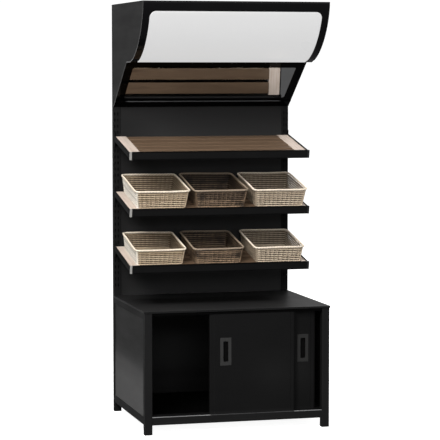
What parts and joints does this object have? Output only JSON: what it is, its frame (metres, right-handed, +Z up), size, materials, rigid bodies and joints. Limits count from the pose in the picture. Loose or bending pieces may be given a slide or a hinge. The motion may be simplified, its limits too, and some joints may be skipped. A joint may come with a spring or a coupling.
{
  "type": "bread display rack",
  "caption": "Bakery display: closed base with sliding doors, slotted uprights, tilted wooden shelves with wicker baskets, and a curved hood with an opal front and a slanted mirror.",
  "frame": {"origin": "centre of the footprint, on the floor", "axes": "+Z up; front towards -Y; left of the rack, seen from the front, towards -X"},
  "size_m": [1.008, 0.794, 2.24],
  "materials": {
    "frame_black": "satin black powder coat",
    "sheet_black": "satin black powder coat on sheet steel",
    "door_black": "smooth satin black powder coat",
    "worktop_black": "satin black powder coat, light sheen",
    "fascia_gloss_black": "gloss black",
    "opal_white": "opal white acrylic",
    "mirror_silver": "mirror",
    "track_aluminium": "extruded aluminium",
    "pull_grey": "dark grey moulded plastic",
    "glide_nylon": "natural nylon",
    "pad_rubber": "black rubber",
    "grommet_rubber": "black rubber",
    "zinc_steel": "zinc plated",
    "oak": "light oiled oak",
    "price_rail_black": "black extrusion",
    "end_cap_grey": "light grey moulded cap",
    "lamp_white": "white enamel",
    "lamp_diffuser_white": "frosted diffuser",
    "wicker": "woven wicker, oiled"
  },
  "bodies": {
    "rack": {"back_panel_lower": "sheet_black", "back_panel_upper": "sheet_black", "cabinet_back": "sheet_black", "cabinet_floor": "sheet_black", "cable_grommet": "grommet_rubber", "fascia_frame": "fascia_gloss_black", "fascia_panel": "opal_white", "front_bottom_rail": "frame_black", "front_post_left": "frame_black", "front_post_right": "frame_black", "hood_bolts": "zinc_steel", "hood_cheek_left": "frame_black", "hood_cheek_right": "frame_black", "hood_lip": "frame_black", "hood_top": "frame_black", "lamp_diffuser": "lamp_diffuser_white", "lamp_housing": "lamp_white", "leg_pads": "pad_rubber", "lower_door_track": "track_aluminium", "mirror_frame": "fascia_gloss_black", "mirror_glass": "mirror_silver", "price_rail_end_caps": "end_cap_grey", "rear_rails": "frame_black", "shelf_lower_bracket_left": "frame_black", "shelf_lower_bracket_right": "frame_black", "shelf_lower_price_rail": "price_rail_black", "shelf_lower_side_boards": "oak", "shelf_lower_slats": "oak", "shelf_middle_bracket_left": "frame_black", "shelf_middle_bracket_right": "frame_black", "shelf_middle_price_rail": "price_rail_black", "shelf_middle_side_boards": "oak", "shelf_middle_slats": "oak", "shelf_top_bracket_left": "frame_black", "shelf_top_bracket_right": "frame_black", "shelf_top_price_rail": "price_rail_black", "shelf_top_side_boards": "oak", "shelf_top_slats": "oak", "side_bottom_rails": "frame_black", "side_panel_left": "sheet_black", "side_panel_right": "sheet_black", "side_top_rails": "frame_black", "top_crossbar": "frame_black", "upper_door_track": "frame_black", "upright_left": "frame_black", "upright_right": "frame_black", "worktop": "worktop_black"},
    "left_door_body": {"left_door": "door_black", "left_door_pull": "pull_grey", "left_door_glides": "glide_nylon"},
    "right_door_body": {"right_door": "door_black", "right_door_pull": "pull_grey", "right_door_glides": "glide_nylon"},
    "basket_lower_centre_body": {"basket_lower_centre": "wicker"},
    "basket_lower_left_body": {"basket_lower_left": "wicker"},
    "basket_lower_right_body": {"basket_lower_right": "wicker"},
    "basket_middle_centre_body": {"basket_middle_centre": "wicker"},
    "basket_middle_left_body": {"basket_middle_left": "wicker"},
    "basket_middle_right_body": {"basket_middle_right": "wicker"}
  },
  "joints": [
    {"name": "left_door_slide", "type": "slide", "parent": "rack", "child": "left_door_body", "axis": [1, 0, 0], "range_m": [-0.3065, 0.1485]},
    {"name": "right_door_slide", "type": "slide", "parent": "rack", "child": "right_door_body", "axis": [1, 0, 0], "range_m": [-0.4255, 0.0295]},
    {"name": "basket_lower_centre_lift_out", "type": "slide", "parent": "rack", "child": "basket_lower_centre_body", "axis": [0, -0.9781, 0.2079], "range_m": [0, 0.44]},
    {"name": "basket_lower_left_lift_out", "type": "slide", "parent": "rack", "child": "basket_lower_left_body", "axis": [0, -0.9781, 0.2079], "range_m": [0, 0.44]},
    {"name": "basket_lower_right_lift_out", "type": "slide", "parent": "rack", "child": "basket_lower_right_body", "axis": [0, -0.9781, 0.2079], "range_m": [0, 0.44]},
    {"name": "basket_middle_centre_lift_out", "type": "slide", "parent": "rack", "child": "basket_middle_centre_body", "axis": [0, -0.9781, 0.2079], "range_m": [0, 0.44]},
    {"name": "basket_middle_left_lift_out", "type": "slide", "parent": "rack", "child": "basket_middle_left_body", "axis": [0, -0.9781, 0.2079], "range_m": [0, 0.44]},
    {"name": "basket_middle_right_lift_out", "type": "slide", "parent": "rack", "child": "basket_middle_right_body", "axis": [0, -0.9781, 0.2079], "range_m": [0, 0.44]}
  ]
}
